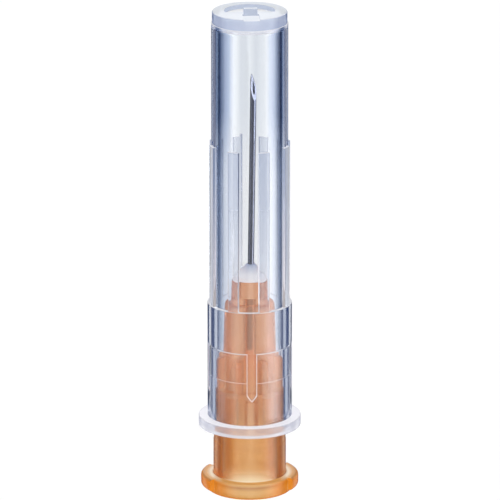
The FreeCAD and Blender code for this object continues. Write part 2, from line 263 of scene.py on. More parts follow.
def box(name, low, high):
    """A block between two opposite corners."""
    bpy.ops.object.select_all(action="DESELECT")
    low, high = Vector(low), Vector(high)
    bpy.ops.mesh.primitive_cube_add(size=1, location=(low + high) / 2)
    piece = bpy.context.active_object
    piece.name = name
    piece.scale = high - low
    bpy.ops.object.transform_apply(location=True, rotation=True, scale=True)
    return piece


def rod(name, radius, middle, length, steps):
    """A round rod along the needle's axis."""
    bpy.ops.object.select_all(action="DESELECT")
    place = (0, 0, middle)
    bpy.ops.mesh.primitive_cylinder_add(vertices=steps, radius=radius, depth=length, location=place)
    piece = bpy.context.active_object
    piece.name = name
    bpy.ops.object.transform_apply(location=True, rotation=True, scale=True)
    return piece


def soften(piece, radius, wanted, segments=EDGE_STEPS):
    """Rounds the edges whose two ends the test wants."""
    edit(piece, "EDGE")
    points = piece.data.vertices
    pick(piece.data.edges, lambda edge: wanted(points[edge.vertices[0]].co, points[edge.vertices[1]].co))
    bpy.ops.mesh.bevel(offset=radius, affect="EDGES", segments=segments)
    close_edit()
    return piece


def repeat_round(piece, count, first_angle=0.0):
    """Copies a part evenly about the needle's axis and joins the copies."""
    copies = []
    for i in range(count):
        copy = piece.copy()
        copy.data = piece.data.copy()
        copy.data.transform(Matrix.Rotation(math.radians(first_angle + 360 * i / count), 4, "Z"))
        bpy.context.collection.objects.link(copy)
        copies.append(copy)
    bpy.data.objects.remove(piece)
    bpy.ops.object.select_all(action="DESELECT")
    for copy in copies:
        copy.select_set(True)
    bpy.context.view_layer.objects.active = copies[0]
    bpy.ops.object.join()
    return copies[0]


def combine(piece, tool, how):
    """Adds a tool to the piece or cuts it with one, and deletes the tool."""
    select_only(piece)
    change = piece.modifiers.new("Combine", "BOOLEAN")
    change.operation = how
    change.solver = "EXACT"
    change.object = tool
    bpy.ops.object.modifier_apply(modifier=change.name)
    bpy.data.objects.remove(tool)
    return piece


def finish(piece, node, body, material):
    """Smooths the piece, scales it to metres and lets it stand for its node."""
    piece.name = node + "_look"
    piece.data.name = piece.name
    piece.data.transform(Matrix.Scale(MM, 4))
    select_only(piece)
    bpy.ops.object.shade_smooth_by_angle(angle=SMOOTH_ANGLE)
    piece.data.materials.clear()
    piece.data.materials.append(material)
    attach(piece, body)
    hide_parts(node)
    return piece


class Value:
    """A shader socket that can be written in sums. What changes over a surface is made of these."""

    def __init__(self, tree, socket):
        self.tree = tree
        self.socket = socket

    def maths(self, operation, *others):
        return self.tree.node("ShaderNodeMath", {"operation": operation}, self, *others)

    def __add__(self, other):
        return self.maths("ADD", other)

    def __radd__(self, other):
        return self.maths("ADD", other)

    def __sub__(self, other):
        return self.maths("SUBTRACT", other)

    def __rsub__(self, other):
        return self.tree.node("ShaderNodeMath", {"operation": "SUBTRACT"}, other, self)

    def __mul__(self, other):
        return self.maths("MULTIPLY", other)

    def __rmul__(self, other):
        return self.maths("MULTIPLY", other)

    def __truediv__(self, other):
        return self.maths("DIVIDE", other)

    def __pow__(self, other):
        return self.maths("POWER", other)


class Tree:
    """A material's or the world's nodes."""

    def __init__(self, owner):
        owner.use_nodes = True
        self.nodes = owner.node_tree.nodes
        self.links = owner.node_tree.links
        self.nodes.clear()

    def feed(self, socket, value):
        if isinstance(value, Value):
            self.links.new(value.socket, socket)
        elif isinstance(value, tuple) and len(value) == 3 and socket.type == "RGBA":
            socket.default_value = (*value, 1)
        else:
            socket.default_value = value

    def node(self, kind, settings, *values, output=0, **named):
        """Adds a node, sets it up, feeds its sockets in order or by name and returns one of its outputs."""
        node = self.nodes.new(kind)
        for name, setting in settings.items():
            if name == "stops":
                self.set_stops(node.color_ramp, setting)
            else:
                setattr(node, name, setting)
        for socket, value in zip(node.inputs, values):
            if value is not None:
                self.feed(socket, value)
        for name, value in named.items():
            self.feed(node.inputs[name.replace("_", " ")], value)
        if not node.outputs:
            return None
        return Value(self, node.outputs[output])

    def set_stops(self, ramp, stops):
        """Sets a colour ramp's stops, each a place and a colour."""
        while len(ramp.elements) > 1:
            ramp.elements.remove(ramp.elements[-1])
        ramp.elements[0].position = stops[0][0]
        ramp.elements[0].color = (*stops[0][1], 1)
        for place, colour in stops[1:]:
            ramp.elements.new(place).color = (*colour, 1)

    def ramp(self, stops, value):
        """A colour that follows a value."""
        return self.node("ShaderNodeValToRGB", {"stops": stops}, value)

    def fade(self, value, low, high, start=0.0, end=1.0, curve="LINEAR"):
        """Goes from start to end while a value goes from low to high."""
        settings = {"interpolation_type": curve}
        return self.node("ShaderNodeMapRange", settings, value, low, high, start, end)

    def blend(self, factor, first, second):
        """Mixes two colours. The five sockets between the factor and them are for other kinds."""
        unused = [None] * 5
        return self.node("ShaderNodeMix", {"data_type": "RGBA"}, factor, *unused, first, second, output=2)

    def axes(self, vector):
        """Splits a vector into its three values."""
        split = self.node("ShaderNodeSeparateXYZ", {}, vector).socket.node
        return [Value(self, output) for output in split.outputs]

    def most(self, first, *others):
        """The largest of several values."""
        for other in others:
            first = first.maths("MAXIMUM", other)
        return first

    def place(self):
        """Where on its piece a point lies, in metres."""
        return self.node("ShaderNodeTexCoord", {}, output="Object")

    def normal(self):
        """The three values of the way that a face looks."""
        return self.axes(self.node("ShaderNodeNewGeometry", {}, output="Normal"))

    def slant(self):
        """How far from square on a face is met, from 0 to 1."""
        return self.node("ShaderNodeLayerWeight", {}, output="Facing")


def new_material(name):
    material = bpy.data.materials.new(name)
    return material, Tree(material)


def let_light_in(tree, surface):
    """Ends a see-through material. Rays that only carry light pass, so that what is inside is lit."""
    path = "ShaderNodeLightPath"
    shadow = tree.node(path, {}, output="Is Shadow Ray")
    scattered = tree.node(path, {}, output="Is Diffuse Ray")
    either = tree.most(shadow, scattered)
    clear = tree.node("ShaderNodeBsdfTransparent", {})
    shader = tree.node("ShaderNodeMixShader", {}, either, surface, clear)
    tree.node("ShaderNodeOutputMaterial", {}, Surface=shader)


# Both moulded plastics
PLASTIC_IOR = 1.49
DENT_DEPTH = 0.1

# Colour of the clear plastic by how much at a slant its tube, bore, band, ribs and closed end are met. The
# dark blue that it turns at a slant is painted shade, standing for dark surroundings seen through the wall
TUBE_SLANT = [
    (0.0, (0.88, 0.91, 0.94)),
    (0.17, (0.88, 0.91, 0.94)),
    (0.236, (0.65, 0.72, 0.85)),
    (0.305, (0.36, 0.44, 0.62)),
    (0.36, (0.14, 0.2, 0.36)),
    (0.42, (0.02, 0.04, 0.1)),
    (0.5, (0.04, 0.07, 0.18)),
    (0.62, (0.4, 0.45, 0.62)),
    (0.74, (0.85, 0.88, 0.94)),
]
BORE_SLANT = [
    (0.0, (0.9, 0.92, 0.95)),
    (0.2, (0.95, 0.96, 0.98)),
    (0.276, (0.42, 0.5, 0.7)),
    (0.387, (0.28, 0.36, 0.59)),
    (0.52, (0.08, 0.12, 0.23)),
    (0.78, (0.01, 0.023, 0.06)),
]
BAND_SLANT = [
    (0.0, (0.88, 0.91, 0.95)),
    (0.22, (0.82, 0.86, 0.93)),
    (0.33, (0.6, 0.66, 0.78)),
    (0.45, (0.26, 0.31, 0.44)),
    (0.55, (0.35, 0.4, 0.53)),
    (0.65, (0.75, 0.79, 0.88)),
    (0.9, (0.9, 0.92, 0.96)),
]
RIB_SLANT = [
    (0.0, (0.93, 0.94, 0.97)),
    (0.25, (0.88, 0.91, 0.97)),
    (0.35, (0.78, 0.83, 0.94)),
    (0.5, (0.66, 0.73, 0.88)),
    (0.8, (0.85, 0.88, 0.95)),
]
END_SLANT = [
    (0.0, (0.5, 0.58, 0.77)),
    (0.2, (0.44, 0.53, 0.74)),
    (0.35, (0.22, 0.29, 0.49)),
    (1.0, (0.2, 0.26, 0.43)),
]

# Radii that tell the sheath's bore, tube, band with ribs, and flange apart
WALL_MIDDLE = 2.85
TUBE_LIMIT = 3.15
FLANGE_LIMIT = 3.45

# Parts of a face's normal at which it begins to count, and counts fully, as a level or a side face
LEVEL_LOW = 0.4
LEVEL_HIGH = 0.9
SIDE_LOW = 0.35
SIDE_HIGH = 0.7

# The painted shade of the tube and bore is paler from the ribbed stretch down, and the bore is a little
# milky low down
RIBBED_GAMMA = 0.42
RIBBED_LOW = 26.0
RIBBED_HIGH = 31.0
HAZE_LOW = 15.6
HAZE_HIGH = 18.5

# Colours of its level faces and of the light that its frosted faces scatter, with painted shade in dark
# blue on the rib panels, on the rib sides higher up and on the recess wall, and a painted highlight on the
# rib edges, which begins at a slant
LEVEL_TINT = (0.88, 0.9, 0.95)
FROST_TINT = (0.92, 0.91, 0.97)
PANEL_SHADE_TINT = (0.4, 0.47, 0.63)
RIB_EDGE_HIGHLIGHT_TINT = (0.85, 0.88, 0.95)
RIB_SIDE_TINT = (0.3, 0.36, 0.52)
LOW_RIB_SIDE_TINT = (0.95, 0.88, 0.9)
END_FACE_TINT = (0.88, 0.92, 0.98)
RECESS_FLOOR_TINT = (0.97, 0.98, 1.0)
RECESS_WALL_SHADE_TINT = (0.5, 0.56, 0.7)
PANEL_SLANT = 0.15
RIB_EDGE_SLANT = 0.45

# How frosted each of its faces is, from 0 to 1
LEVEL_FROST = 0.7
SPLINE_SIDE_FROST = 0.85
RIB_SIDE_FROST = 0.5
FLANGE_FROST = 0.3
END_FROST = 0.65
RIB_FROST = 0.45
LOW_PANEL_FROST = 0.15
BORE_HAZE = 0.04

# Flow marks along the sheath
FLOW_STRETCH = (1, 1, 0.12)
FLOW_SCALE = 420
FLOW_STRENGTH = 0.02


def mark_sheath(tree, place):
    """Marks the sheath's parts and its level and side faces, each from 0 to 1."""
    across, along, up = tree.axes(place)
    radius = (across ** 2 + along ** 2) ** 0.5
    normal = tree.normal()
    sideways = (normal[1] * across - normal[0] * along) / radius
    on_band = radius.maths("GREATER_THAN", TUBE_LIMIT * MM)
    return SimpleNamespace(
        slant=tree.slant(),
        on_tube=radius.maths("GREATER_THAN", WALL_MIDDLE * MM),
        on_band=on_band,
        on_rib=on_band * up.maths("GREATER_THAN", BAND_TOP * MM),
        on_flange=radius.maths("GREATER_THAN", FLANGE_LIMIT * MM),
        on_end=up.maths("GREATER_THAN", RIM_FOOT * MM),
        in_recess=up.maths("LESS_THAN", (SHEATH_TOP - RECESS_DEPTH / 2) * MM),
        level=tree.fade(normal[2].maths("ABSOLUTE"), LEVEL_LOW, LEVEL_HIGH),
        side=tree.fade(sideways.maths("ABSOLUTE"), SIDE_LOW, SIDE_HIGH),
        ribbed=tree.fade(up, RIBBED_LOW * MM, RIBBED_HIGH * MM, 1.0, 0.0),
        low=tree.fade(up, HAZE_LOW * MM, RIBBED_LOW * MM, 1.0, 0.0),
        haze=tree.fade(up, HAZE_LOW * MM, HAZE_HIGH * MM, BORE_HAZE, 0.0),
    )


def clear_tint_with_painted_shade(tree, marks):
    """Colour of the light that goes through the sheath, with painted shade: dark blue bands where the wall
    is met at a slant.
    """
    bore = tree.ramp(BORE_SLANT, marks.slant)
    tube = tree.ramp(TUBE_SLANT, marks.slant)
    band = tree.ramp(BAND_SLANT, marks.slant)
    rib = tree.ramp(RIB_SLANT, marks.slant)
    steep = tree.blend(marks.on_tube, bore, tube)
    steep = tree.blend(marks.ribbed, steep, tree.node("ShaderNodeGamma", {}, steep, RIBBED_GAMMA))
    tint = tree.blend(marks.on_band, steep, tree.blend(marks.on_rib, band, rib))
    pale = tree.most(marks.level, marks.side, marks.on_flange, marks.on_end)
    return tree.blend(pale, tint, LEVEL_TINT)


def frost_tint_with_painted_light(tree, marks, edge):
    """Colour of the light that the sheath's frosted faces scatter, with painted shade on the rib panels,
    the upper rib sides, the rim's side and the recess wall, and a painted highlight along the rib edges.
    """
    panel = tree.blend(edge, PANEL_SHADE_TINT, RIB_EDGE_HIGHLIGHT_TINT)
    rib_side = tree.blend(marks.low, RIB_SIDE_TINT, LOW_RIB_SIDE_TINT)
    tint = tree.blend(marks.on_rib, FROST_TINT, panel)
    tint = tree.blend(marks.side * marks.on_tube, tint, rib_side)
    facing_up = tree.blend(marks.in_recess, END_FACE_TINT, RECESS_FLOOR_TINT)
    upright = tree.blend(marks.on_tube, RECESS_WALL_SHADE_TINT, tree.ramp(END_SLANT, marks.slant))
    return tree.blend(marks.on_end, tint, tree.blend(marks.level, upright, facing_up))


def frost_share(tree, marks, edge):
    """How much of the light the sheath's faces scatter."""
    side_frost = SPLINE_SIDE_FROST - marks.on_tube * (SPLINE_SIDE_FROST - RIB_SIDE_FROST)
    rib_frost = RIB_FROST - (1 - edge) * marks.low * (RIB_FROST - LOW_PANEL_FROST)
    return tree.most(
        marks.level * LEVEL_FROST,
        marks.side * side_frost,
        marks.on_flange * FLANGE_FROST,
        marks.on_end * END_FROST,
        marks.on_rib * rib_frost,
        marks.haze * (1 - marks.on_tube),
    )


def clear_plastic():
    """Clear moulded plastic, with painted shade that turns it dark blue at a slant, and paler on its level
    and side faces.
    """
    material, tree = new_material("sheath_clear")
    place = tree.place()
    stretch = tree.node("ShaderNodeMapping", {}, place, Scale=FLOW_STRETCH)
    flow = tree.node("ShaderNodeTexNoise", {}, Vector=stretch, Scale=FLOW_SCALE, Detail=2)
    depth = DENT_DEPTH * MM
    dent = tree.node("ShaderNodeBump", {}, Strength=FLOW_STRENGTH, Distance=depth, Height=flow)
    marks = mark_sheath(tree, place)
    # Where a face is met at a slant, the rib panels' painted shade gives way to a painted highlight along
    # the rib edges
    edge = tree.fade(marks.slant, PANEL_SLANT, RIB_EDGE_SLANT)
    glass = tree.node(
        "ShaderNodeBsdfPrincipled", {}, Base_Color=clear_tint_with_painted_shade(tree, marks), IOR=PLASTIC_IOR,
        Transmission_Weight=1.0, Roughness=0.0, Normal=dent)
    frost = tree.node("ShaderNodeBsdfDiffuse", {}, Color=frost_tint_with_painted_light(tree, marks, edge))
    surface = tree.node("ShaderNodeMixShader", {}, frost_share(tree, marks, edge), glass, frost)
    let_light_in(tree, surface)
    return material


# Colour of the orange plastic by how much at a slant its barrel and its core are met: deeper orange where
# the plastic is thicker along the view, and painted shade in a dark band near the sides
BARREL_SLANT = [
    (0.0, (0.9, 0.75, 0.56)),
    (0.06, (0.88, 0.71, 0.5)),
    (0.16, (0.83, 0.63, 0.4)),
    (0.27, (0.54, 0.25, 0.07)),
    (0.376, (0.22, 0.025, 0.002)),
    (0.5, (0.32, 0.035, 0.002)),
    (0.66, (0.6, 0.22, 0.05)),
    (1.0, (0.75, 0.4, 0.12)),
]
CORE_SLANT = [
    (0.0, (0.86, 0.54, 0.33)),
    (0.2, (0.84, 0.45, 0.25)),
    (0.4, (0.79, 0.28, 0.12)),
    (0.7, (0.75, 0.24, 0.08)),
    (1.0, (0.82, 0.4, 0.18)),
]

# Colour of the disc's outside by height, from its base to its upper face, with painted shade in a dark band
# below its upper edge and a painted highlight along that edge
DISC_PAINTED_BANDS = [
    (0.0, (0.7, 0.26, 0.03)),
    (0.2, (0.8, 0.42, 0.13)),
    (0.55, (0.76, 0.38, 0.1)),
    (0.78, (0.46, 0.15, 0.02)),
    (0.95, (0.78, 0.42, 0.13)),
    (1.0, (0.85, 0.55, 0.24)),
]

# Colours of the light that the orange plastic scatters, with a painted glow for the barrel's foot and a
# painted highlight for the glints on the lugs
BARREL_TINT = (0.84, 0.36, 0.08)
CORE_TINT = (0.95, 0.4, 0.16)
GLOW_TINT = (1.0, 0.85, 0.58)
LUG_TINT = (0.92, 0.28, 0.004)
LUG_FACE_TINT = (0.74, 0.38, 0.11)
LUG_RIM_TINT = (0.5, 0.2, 0.03)
GLINT_TINT = (0.95, 0.82, 0.62)

# How milky the plastic is, from 0 to 1
BARREL_MILK = 0.2
CORE_MILK = 0.13
# How much the painted glow at the barrel's foot shows
GLOW_MILK = 0.45
DISC_MILK = 0.72

# Painted light gathers at the barrel's foot and in painted glints beside it, and the disc is deeper at a
# slant
GLOW_TOP = 2.6
GLOW_NARROWING = 3
GLINT_RADIUS = 3.15
GLINT_LOW = 2.3
GLINT_HIGH = 2.9
DEEP_LOW = 0.08
DEEP_HIGH = 0.3
DEEP_SHARE = 0.8
DISC_LEVEL_LOW = 0.3

# Finish of the orange plastic
GRAIN_SCALE = 900
GRAIN_STRENGTH = 0.05
ORANGE_ROUGHNESS = 0.22
ORANGE_GLOSS = 0.65
MILK_ROUGHNESS = 0.25
MILK_GLOSS = 0.3


def milky_tint_with_painted_light(tree, place, slant, core, on_disc, glow):
    """Colour of the light that the orange plastic scatters, with painted shade and a painted highlight in
    bands round the disc, a painted glow at the barrel's foot and painted glints on the lugs.
    """
    across, along, up = tree.axes(place)
    radius = (across ** 2 + along ** 2) ** 0.5
    level = tree.fade(tree.normal()[2], DISC_LEVEL_LOW, LEVEL_HIGH)
    on_lug = radius.maths("GREATER_THAN", (DISC_RADIUS + EDGE_SOFTNESS) * MM)
    deep = tree.most(tree.fade(slant, DEEP_LOW, DEEP_HIGH, 0.0, DEEP_SHARE), on_lug)
    # Painted shade and a painted highlight in bands up the disc
    painted_disc_bands = tree.ramp(DISC_PAINTED_BANDS, up / (DISC_HEIGHT * MM))
    # Painted glints on the lugs' upper faces beside the barrel
    inner = tree.fade(radius, GLINT_RADIUS * MM, DISC_RADIUS * MM, 1.0, 0.0)
    beside = tree.fade(across.maths("ABSOLUTE"), GLINT_LOW * MM, GLINT_HIGH * MM)
    outer = tree.fade(radius, DISC_RADIUS * MM, LUG_RADIUS * MM)
    face = tree.blend(inner * beside, tree.blend(outer, LUG_FACE_TINT, LUG_RIM_TINT), GLINT_TINT)
    tint = tree.blend(glow, tree.blend(core, BARREL_TINT, CORE_TINT), GLOW_TINT)
    tint = tree.blend(on_disc, tint, tree.blend(deep, painted_disc_bands, LUG_TINT))
    return tree.blend(on_disc * level, tint, face)


def orange_plastic():
    """Translucent orange plastic, with painted light gathered at the barrel's foot, painted shade in a dark
    band at a slant, and a deep coloured disc.
    """
    material, tree = new_material("hub_orange")
    place = tree.place()
    grain = tree.node("ShaderNodeTexNoise", {}, Vector=place, Scale=GRAIN_SCALE, Detail=3)
    depth = DENT_DEPTH * MM
    dent = tree.node("ShaderNodeBump", {}, Strength=GRAIN_STRENGTH, Distance=depth, Height=grain)
    across, along, up = tree.axes(place)
    radius = (across ** 2 + along ** 2) ** 0.5
    slant = tree.slant()
    core = tree.fade(up, SEAT_HEIGHT * MM, FIN_TOP * MM)
    outside = radius.maths("GREATER_THAN", (BARREL_RADIUS + EDGE_SOFTNESS) * MM)
    on_disc = outside * up.maths("LESS_THAN", (DISC_HEIGHT + EDGE_SOFTNESS) * MM)
    # A painted glow of gathered light at the barrel's foot, narrowing at a slant
    glow = tree.fade(up, DISC_HEIGHT * MM, GLOW_TOP * MM, 1.0, 0.0)
    glow = glow * (1 - on_disc) * (1 - slant * GLOW_NARROWING).maths("MAXIMUM", 0.0)
    core_milk = core * tree.fade(up, FIN_TOP * MM, UPPER_STEP * MM, CORE_MILK, 0.0)
    milk = tree.most(glow * GLOW_MILK + core_milk + BARREL_MILK, on_disc * DISC_MILK)
    # The barrel and core deepen at a slant where the plastic is thicker, with painted shade in a dark band
    tint = tree.blend(core, tree.ramp(BARREL_SLANT, slant), tree.ramp(CORE_SLANT, slant))
    glass = tree.node(
        "ShaderNodeBsdfPrincipled", {}, Base_Color=tint, IOR=PLASTIC_IOR, Transmission_Weight=1.0,
        Roughness=ORANGE_ROUGHNESS, Specular_IOR_Level=ORANGE_GLOSS, Normal=dent)
    body = tree.node(
        "ShaderNodeBsdfPrincipled", {}, Base_Color=milky_tint_with_painted_light(tree, place, slant, core, on_disc, glow),
        IOR=PLASTIC_IOR, Roughness=MILK_ROUGHNESS, Specular_IOR_Level=MILK_GLOSS, Normal=dent)
    let_light_in(tree, tree.node("ShaderNodeMixShader", {}, milk, glass, body))
    return material


# Colour of the steel by how much at a slant it is met: a painted reflection, dark navy with one bright band
STEEL_PAINTED_REFLECTION = [
    (0.0, (0.045, 0.055, 0.1)),
    (0.05, (0.05, 0.06, 0.11)),
    (0.12, (0.15, 0.16, 0.2)),
    (0.2, (0.28, 0.29, 0.36)),
    (0.41, (0.05, 0.06, 0.1)),
    (1.0, (0.12, 0.135, 0.19)),
]

# Finish of the steel, with the marks that drawing leaves along the tube
STEEL_ROUGHNESS = 0.12
DRAWN_STRETCH = (1, 1, 0.02)
DRAWN_SCALE = 9000
DRAWN_STRENGTH = 0.15
DRAWN_DEPTH = 0.02


def polished_steel():
    """Drawn and polished steel tube, whose colour is a painted reflection: dark navy with one bright band
    at a slant.
    """
    material, tree = new_material("cannula_steel")
    stretch = tree.node("ShaderNodeMapping", {}, tree.place(), Scale=DRAWN_STRETCH)
    drawn = tree.node("ShaderNodeTexNoise", {}, Vector=stretch, Scale=DRAWN_SCALE, Detail=3)
    depth = DRAWN_DEPTH * MM
    dent = tree.node("ShaderNodeBump", {}, Strength=DRAWN_STRENGTH, Distance=depth, Height=drawn)
    tint = tree.ramp(STEEL_PAINTED_REFLECTION, tree.slant())
    surface = tree.node(
        "ShaderNodeBsdfPrincipled", {}, Base_Color=tint, Metallic=1.0, Roughness=STEEL_ROUGHNESS,
        Normal=dent)
    tree.node("ShaderNodeOutputMaterial", {}, Surface=surface)
    return material


# The bond is milky, and thinner and bluer over a short stretch below its top
BOND_CLEAR_TINT = (0.97, 0.98, 1.0)
BOND_LOW_TINT = (0.95, 0.95, 1.0)
BOND_TOP_TINT = (0.4, 0.46, 0.66)
BOND_FADE = 0.7
BOND_IOR = 1.5
BOND_ROUGHNESS = 0.3
BOND_MILK = 0.7


def cured_bond():
    """Milky cured adhesive."""
    material, tree = new_material("bond_white")
    up = tree.axes(tree.place())[2]
    thin = tree.fade(up, (BOND_TOP - BOND_FADE) * MM, BOND_TOP * MM)
    cloud = tree.blend(thin, BOND_LOW_TINT, BOND_TOP_TINT)
    glass = tree.node(
        "ShaderNodeBsdfPrincipled", {}, Base_Color=BOND_CLEAR_TINT, IOR=BOND_IOR, Transmission_Weight=1.0,
        Roughness=BOND_ROUGHNESS)
    body = tree.node(
        "ShaderNodeBsdfPrincipled", {}, Base_Color=cloud, IOR=BOND_IOR, Roughness=BOND_ROUGHNESS)
    let_light_in(tree, tree.node("ShaderNodeMixShader", {}, BOND_MILK, glass, body))
    return material


def make_hub():
    """One moulding, with its socket, chamber, passage and glue well inside."""
    hub = draw_outline("hub", [
        (SOCKET_MOUTH_RADIUS + MOUTH_CHAMFER, 0),
        (DISC_RADIUS, 0, DISC_ROUND),
        (DISC_RADIUS, DISC_HEIGHT, DISC_ROUND),
        (BARREL_RADIUS, DISC_HEIGHT, BARREL_FOOT_ROUND),
        (BARREL_RADIUS, WITNESS_HEIGHT),
        (BARREL_RADIUS - WITNESS_STEP, WITNESS_HEIGHT),
        (BARREL_RADIUS - WITNESS_STEP, SEAT_HEIGHT, SEAT_ROUND),
        (COLLAR_RADIUS, SEAT_HEIGHT),
        (COLLAR_RADIUS, COLLAR_TOP, COLLAR_ROUND),
        (CORE_RADIUS, COLLAR_TOP, EDGE_SOFTNESS),
        (CORE_TOP_RADIUS, CORE_TOP, SHOULDER_ROUND),
        (NOSE_RADIUS, CORE_TOP),
        (NOSE_TIP_RADIUS, NOSE_TOP, NOSE_ROUND),
        (WELL_RADIUS, NOSE_TOP),
        (WELL_RADIUS, WELL_FLOOR),
        (PASSAGE_RADIUS, WELL_FLOOR),
        (PASSAGE_RADIUS, FUNNEL_TOP),
        (CHAMBER_RADIUS, CHAMBER_TOP, EDGE_SOFTNESS),
        (CHAMBER_RADIUS, SOCKET_DEPTH, EDGE_SOFTNESS),
        (SOCKET_END_RADIUS, SOCKET_DEPTH, EDGE_SOFTNESS),
        (SOCKET_MOUTH_RADIUS, MOUTH_CHAMFER),
    ])
    turn_round(hub, ROUND_STEPS)

    lug = draw_outline("lug", [
        (LUG_ROOT_RADIUS, LUG_UNDERSIDE),
        (LUG_RADIUS, LUG_UNDERSIDE, LUG_ROUND),
        (LUG_RADIUS, DISC_HEIGHT, LUG_ROUND),
        (LUG_ROOT_RADIUS, DISC_HEIGHT),
    ])
    turn_part_way(lug, LUG_SPAN)
    combine(hub, repeat_round(lug, LUG_COUNT), "UNION")

    fin = box(
        "fin",
        (FIN_ROOT_RADIUS, -FIN_WIDTH / 2, SEAT_HEIGHT + EDGE_SOFTNESS),
        (FIN_REACH, FIN_WIDTH / 2, FIN_TOP))
    soften(
        fin, FIN_ROUND, lambda a, b: min(a.x, b.x) > CORE_RADIUS and min(a.z, b.z) > COLLAR_TOP,
        CORNER_STEPS)
    soften(fin, EDGE_SOFTNESS, lambda a, b: min(a.x, b.x) > CORE_RADIUS and abs(a.y - b.y) < MERGE_GAP)
    combine(hub, repeat_round(fin, FIN_COUNT, 180 / FIN_COUNT), "UNION")

    keyway = box(
        "keyway",
        (BORE_RADIUS - KEY_GAP, -SPLINE_WIDTH / 2 - KEY_GAP, SPLINE_TIP - KEY_GAP),
        (FLANGE_RADIUS, SPLINE_WIDTH / 2 + KEY_GAP, FIN_TOP))
    combine(hub, repeat_round(keyway, SPLINE_COUNT), "DIFFERENCE")
    return finish(hub, "needle_hub", "hub", orange_plastic())


def make_cannula():
    """A tube cut by one long bevel and by two facets."""
    tube = draw_outline("tube", [
        (CANNULA_BORE, CANNULA_FOOT),
        (CANNULA_RADIUS, CANNULA_FOOT),
        (CANNULA_RADIUS, CANNULA_TIP + BEVEL_LENGTH / 4),
        (CANNULA_BORE, CANNULA_TIP + BEVEL_LENGTH / 4),
    ])
    turn_round(tube, FINE_STEPS)
    peak = CANNULA_TIP + FACET_LENGTH * (1 - math.cos(math.radians(FACET_TURN))) / 2
    grinds = [
        (CANNULA_TIP, BEVEL_LENGTH, 0),
        (peak, FACET_LENGTH, FACET_TURN),
        (peak, FACET_LENGTH, -FACET_TURN),
    ]
    reach = 2 * CANNULA_RADIUS
    for top, length, turn in grinds:
        cut = draw_outline("cut", [
            (-reach, top + length / 2),
            (reach, top - 3 * length / 2),
            (reach, top + length),
            (-reach, top + length),
        ])
        thicken(cut, (0, 4 * reach, 0))
        cut.data.transform(Matrix.Translation((0, -2 * reach, 0)))
        cut.data.transform(Matrix.Rotation(math.radians(turn), 4, "Z"))
        combine(tube, cut, "DIFFERENCE")
    tube.data.transform(Matrix.Rotation(math.radians(BEVEL_FACING), 4, "Z"))
    lean(tube)
    return finish(tube, "cannula", "hub", polished_steel())


def make_bond():
    """Glue in the well and a cone of it over the nose, which follows the leaning cannula."""
    bond = draw_outline("bond", [
        (0, WELL_FLOOR),
        (WELL_RADIUS, WELL_FLOOR),
        (WELL_RADIUS, NOSE_TOP),
        (BOND_RADIUS, NOSE_TOP),
        (CANNULA_RADIUS + BOND_LIP, BOND_TOP),
        (0, BOND_TOP),
    ], closed=False)
    turn_round(bond, FINE_STEPS)
    shift = (BOND_TOP - CANNULA_FOOT) * math.tan(math.radians(CANNULA_LEAN))
    for point in bond.data.vertices:
        if point.co.z > BOND_TOP - MERGE_GAP:
            point.co.x += shift
    length = 2 * (BOND_TOP - CANNULA_FOOT + HOLE_SPARE)
    hole = rod("hole", CANNULA_RADIUS, CANNULA_FOOT, length, FINE_STEPS)
    combine(bond, lean(hole), "DIFFERENCE")
    return finish(bond, "adhesive_bond", "hub", cured_bond())


